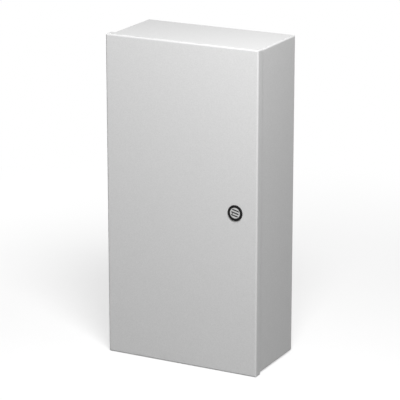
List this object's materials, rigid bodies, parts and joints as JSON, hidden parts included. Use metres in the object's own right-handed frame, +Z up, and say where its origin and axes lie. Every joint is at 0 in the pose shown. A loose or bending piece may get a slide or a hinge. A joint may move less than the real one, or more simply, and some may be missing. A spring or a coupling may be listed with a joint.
{
  "type": "electrical enclosure",
  "caption": "Wall-mounted sheet-steel electrical enclosure with a wrap-round hinged door, a quarter-turn latch, a door gasket and a mounting panel on collar studs.",
  "frame": {"origin": "middle of the four wall holes, on the outside of the back", "axes": "+X to the right of someone facing the door, +Y into the wall, +Z up"},
  "size_m": [0.3133, 0.1608, 0.6146],
  "materials": {
    "paint": "light grey powder coat, satin",
    "panel_paint": "white powder coat, satin",
    "zinc_steel": "bright zinc plate",
    "pin_steel": "drawn stainless rod",
    "latch_metal": "nickel-plated die casting",
    "latch_black": "black moulded plastic, satin",
    "foam": "closed-cell foam strip",
    "seal_rubber": "moulded black rubber"
  },
  "bodies": {
    "body": {"body_shell": "paint", "mounting_panel": "panel_paint", "panel_studs": "zinc_steel", "panel_washers": "zinc_steel", "panel_nuts": "zinc_steel", "earth_stud": "zinc_steel", "earth_washer": "zinc_steel", "earth_nut": "zinc_steel", "hinge_body_leaf": "paint", "hinge_pin": "pin_steel"},
    "door": {"door_panel": "paint", "door_gasket": "foam", "hinge_door_leaf": "paint", "latch_housing": "latch_black", "latch_seal": "seal_rubber", "latch_nut": "zinc_steel", "bond_stud": "zinc_steel", "bond_washer": "zinc_steel", "bond_nut": "zinc_steel"},
    "latch": {"latch_insert": "latch_metal", "latch_o_ring": "seal_rubber", "latch_cam": "zinc_steel", "cam_washer": "zinc_steel", "cam_screw": "zinc_steel"}
  },
  "joints": [
    {"name": "door_hinge", "type": "hinge", "parent": "body", "child": "door", "pos_m": [-0.15565, -0.13865, 0], "axis": [0, 0, -1], "range_deg": [0, 180]},
    {"name": "latch_turn", "type": "hinge", "parent": "door", "child": "latch", "pos_m": [0.1109, -0.155, 0.003], "axis": [0, 1, 0], "range_deg": [-14, 76]}
  ]
}
